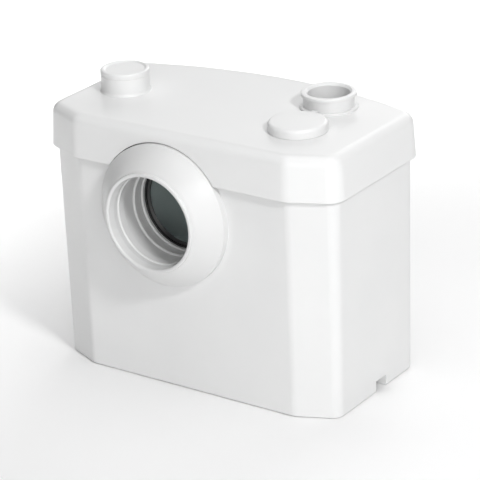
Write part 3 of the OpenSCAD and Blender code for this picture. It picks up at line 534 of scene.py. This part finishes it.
# Stepped collar of the pan inlet, drawn from its lip over the outside to its bore
def make_collar():
    back = SEAT_AT + PAD_T
    face = []
    for i in range(1, FACE_STEPS):
        t = i / FACE_STEPS
        r = LIP_R + FACE_MARGIN + (COLLAR_R - FACE_MARGIN - LIP_R - FACE_MARGIN) * t
        z = FACE_START + (COLLAR_RIM + FACE_MARGIN - FACE_START) * t - FACE_SAG * t * (1 - t)
        face.append((r, z, 0))
    profile = rounded([
        (BORE_R, 8.0, 1.2), (LIP_R - 3.5, 0.0, 1.9), (LIP_R, 0.0, 1.5), (LIP_R + 0.4, 2.6, 0.6),
        *face,
        (COLLAR_R, COLLAR_RIM + 0.8, 0.9), (COLLAR_R, SEAT_AT, 0.4), (SLEEVE_R, SEAT_AT, 0),
        (SLEEVE_R, back + SLEEVE_GAP, 0), (SLEEVE_R + NUT_REACH, back + SLEEVE_GAP, 0.4),
        (SLEEVE_R + NUT_REACH, back + NUT_T, 0.4), (SLEEVE_R, back + NUT_T, 0),
        (SLEEVE_R, COLLAR_LEN, 0.6), (SEAT_R, COLLAR_LEN, 0.4),
        (SEAT_R, COLLAR_LEN - SEAL_SEAT, 0), (BORE_R, COLLAR_LEN - SEAL_SEAT, 0.5),
        *((BORE_R + wider, depth, r) for wider, depth, r in BORE_STEPS),
    ])
    collar = lathe(profile, INLET_AT, "collar_turned", along_inlet=True, segments=192)
    soften(collar)
    # The collar takes the moulded white with painted shade
    settle(collar, "tank", WHITE_COLLAR_PAINTED_SHADE, "inlet_collar")


# Lip seal at the collar's inner end: a plain body and a thin lip
def make_seal():
    front = COLLAR_LEN - SEAL_SEAT
    body = SEAT_R - SEAL_WALL
    outside = SEAT_R - 0.3
    profile = rounded([
        (outside, front, 0.3), (outside, COLLAR_LEN - 1, 0.4), (body, COLLAR_LEN - 1, 0.5),
        (SEAL_LIP_R + 0.9, front + 4.7, 0.5), (SEAL_LIP_R, front + 3.8, 0.4),
        (SEAL_LIP_R + 0.9, front + 2.9, 0.4), (body, front + 1.8, 0.5), (body, front, 0.5),
    ])
    seal = lathe(profile, INLET_AT, "seal_turned", along_inlet=True, segments=160)
    soften(seal)
    settle(seal, "tank", SEAL_RUBBER, "inlet_seal")


# Pushed-in plug of the auxiliary inlet, with a dished head
def make_plug():
    top = LID_TOP + AUX_H + PLUG_HEAD
    low = LID_TOP + AUX_H
    shank = AUX_BORE_R - PORT_GAP
    hollow = AUX_BORE_R - 2.8
    profile = rounded([
        (0, top - 1.5, 0), (AUX_R - 5.0, top - 1.3, 0.8), (AUX_R - 3.2, top, 0.9),
        (AUX_R, top, 1.7), (AUX_R, low, 0.5), (shank, low, 0), (shank, low - PLUG_DEPTH, 0.6),
        (hollow, low - PLUG_DEPTH, 0.6), (hollow, low - 0.2, 0.8), (0, low - 0.2, 0),
    ])
    plug = lathe(profile, (*AUX_AT, 0), "plug_turned")
    soften(plug)
    settle(plug, "aux_plug", WHITE_LID, "aux_plug")


# Flat vent cap with a rounded edge and a pull tab towards the outlet
def make_cap():
    top = LID_TOP + CAP_H
    low = LID_TOP + 0.05
    shank = VENT_R - PORT_GAP
    profile = rounded([
        (0, top, 0), (CAP_R - 0.2, top - 0.35, 3.4), (CAP_R, low, 0.5), (shank, low, 0),
        (shank, LID_TOP - CAP_DEPTH, 0.5), (0, LID_TOP - CAP_DEPTH, 0),
    ], steps=8)
    cap = lathe(profile, (*VENT_AT, 0), "cap_turned")
    way = Vector(OUTLET_AT) - Vector(VENT_AT)
    bm = bmesh.new()
    bmesh.ops.create_cube(bm, size=1.0)
    tab_at = Matrix.Translation((CAP_R + TAB_OUT, 0, CAP_H - TAB_DOWN))
    shape = tab_at @ Matrix.Diagonal((*TAB_SIZE, 1))
    turn = Matrix.Rotation(math.atan2(way.y, way.x), 4, "Z")
    bm.transform(Matrix.Scale(MM, 4) @ Matrix.Translation((*VENT_AT, LID_TOP)) @ turn @ shape)
    work(cap, "UNION", object_from(bm, "cutter"))
    soften(cap, EDGE_W)
    settle(cap, "filter_cap", WHITE_LID, "filter_cap")


make_tank()
make_lid()
make_collar()
make_seal()
make_plug()
make_cap()

# Finish of the carried-over nodes
# The hopper and basket take the grey with painted light
FINISH = {
    "outlet_stub": WHITE_LID, "lid_gasket": RUBBER, "inlet_hopper": GREY_PAINTED_LIGHT, "basket": GREY_PAINTED_LIGHT,
    "blade": STEEL, "motor_plate": PAINT, "motor_cover": PAINT, "stator_core": STEEL,
    "windings": COPPER, "rotor": STEEL, "shaft": STEEL, "upper_bearing": STEEL,
    "lower_bearing": STEEL, "shaft_seal": RUBBER, "impeller": STEEL, "impeller_nut": STEEL,
    "pump_volute": CASING, "suction_cover": CASING, "pump_feet": RUBBER,
    "discharge_pipe": CASING, "pipe_seal": RUBBER, "valve_flap": RUBBER, "flap_pin": STEEL,
    "charcoal_filter": CHARCOAL, "pressure_bell": CASING, "membrane": RUBBER,
    "switch_plunger": CREAM, "microswitch": SWITCH, "control_box": CASING,
    "control_cover": CASING, "capacitor": CAN, "cable_grommet": RUBBER,
    "motor_screws": STEEL, "pump_screws": STEEL, "control_screws": STEEL,
}
for node, material in FINISH.items():
    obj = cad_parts[node]
    obj.data.materials.clear()
    obj.data.materials.append(material)

# Floor, in metres
FLOOR_HALF = 8.0
FLOOR_DROP = 0.0005
floor_mesh = bmesh.new()
bmesh.ops.create_grid(floor_mesh, x_segments=1, y_segments=1, size=FLOOR_HALF)
floor = object_from(floor_mesh, "floor")
floor.data.materials.append(surface(
    "pale_floor", (0.93, 0.93, 0.93), (0.915, 0.915, 0.915), (0.75, 0.85), patch=2.0))
floor.location.z = -FLOOR_DROP

# Lamps, in metres, watts and degrees: the last two shine straight down on the bare floor
AIM = Vector((0.0, 0.003, 0.13))
SKY_STRENGTH = 0.05


def softbox(name, place, side, power, aim=AIM, spread=180):
    lamp = bpy.data.lights.new(name, "AREA")
    lamp.shape = "RECTANGLE"
    lamp.size, lamp.size_y = side, side
    lamp.energy = power
    lamp.spread = math.radians(spread)
    obj = bpy.data.objects.new(name, lamp)
    obj.location = place
    obj.rotation_mode = "QUATERNION"
    obj.rotation_quaternion = (Vector(aim) - Vector(place)).to_track_quat("-Z", "Y")
    bpy.context.scene.collection.objects.link(obj)


softbox("key", (1.95, -0.95, 1.8), 0.3, 33)
softbox("front", (1.05, -2.3, 0.95), 2.2, 21)
softbox("side", (1.91, -1.91, 0.86), 2.2, 17)
softbox("above", (0.05, 0.05, 2.4), 2.2, 26)
softbox("behind", (-0.6, 3.2, 1.6), 2.2, 36)
softbox("left_back", (-1.6, 1.5, 1.2), 1.5, 7)
softbox("backdrop", (-0.75, 1.1, 1.5), 0.8, 5, aim=(-0.75, 1.1, 0.0), spread=70)
softbox("floor_left", (-0.85, -0.05, 1.0), 0.7, 1.8, aim=(-0.85, -0.05, 0.0), spread=50)

world = bpy.data.worlds.new("studio")
bpy.context.scene.world = world
world.use_nodes = True
sky = world.node_tree.nodes["Background"]
sky.inputs["Color"].default_value = (1, 1, 1, 1)
sky.inputs["Strength"].default_value = SKY_STRENGTH

# Camera, as fitted to the photograph
AZIMUTH, ELEVATION, ROLL = 35.164, 22.617, -2.297
FOCAL_PX, DISTANCE = 2484.88, 2.411743
SIDE_STEP, RISE_STEP = -0.006016, 0.003250
IMAGE_PX = 480
SENSOR_MM = 36.0
az, el, roll = (math.radians(v) for v in (AZIMUTH, ELEVATION, ROLL))
ahead = Vector((-math.sin(az) * math.cos(el), math.cos(az) * math.cos(el), -math.sin(el)))
right = Vector((math.cos(az), math.sin(az), 0))
above = right.cross(ahead)
across = right * math.cos(roll) + above * math.sin(roll)
upward = -right * math.sin(roll) + above * math.cos(roll)
camera_data = bpy.data.cameras.new("camera")
camera_data.sensor_width = SENSOR_MM
camera_data.lens = FOCAL_PX / IMAGE_PX * SENSOR_MM
camera = bpy.data.objects.new("camera", camera_data)
bpy.context.scene.collection.objects.link(camera)
camera_turn = Matrix((across, upward, -ahead)).transposed().to_4x4()
camera_at = AIM - ahead * DISTANCE - across * SIDE_STEP - upward * RISE_STEP
camera.matrix_world = Matrix.Translation(camera_at) @ camera_turn
bpy.context.scene.camera = camera
bpy.context.scene.view_settings.view_transform = "Standard"
